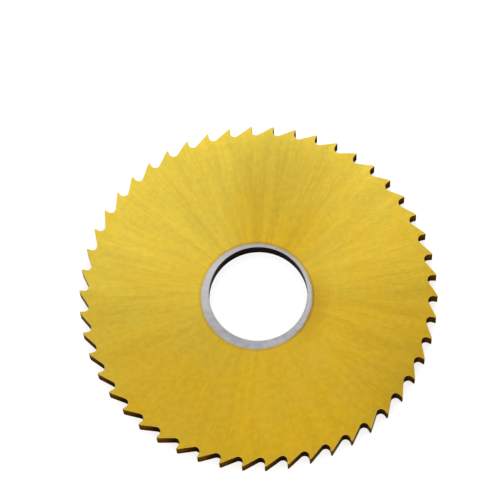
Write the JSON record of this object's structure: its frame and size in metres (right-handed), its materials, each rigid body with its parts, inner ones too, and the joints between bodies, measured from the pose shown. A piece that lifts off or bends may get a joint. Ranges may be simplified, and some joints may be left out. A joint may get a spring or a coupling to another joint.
{
  "type": "slitting saw",
  "caption": "Thin round slitting saw with raked teeth and rounded gullets all round its rim, hollow-ground sides and a plain chamfered bore, for cutting narrow slots on a milling arbor.",
  "frame": {"origin": "centre of the bore, on the plane of the lower rim face that the saw lies on", "axes": "+Z along the bore axis, out of the upper face; +X through a tooth tip; +Y to the left of +X seen from above"},
  "size_m": [0.08, 0.0798, 0.004],
  "materials": {
    "coated_steel": "satin gold hard coating over radially ground tool steel, bare steel in a ring round the bore"
  },
  "bodies": {
    "root": {"saw_blade": "coated_steel"}
  },
  "joints": []
}
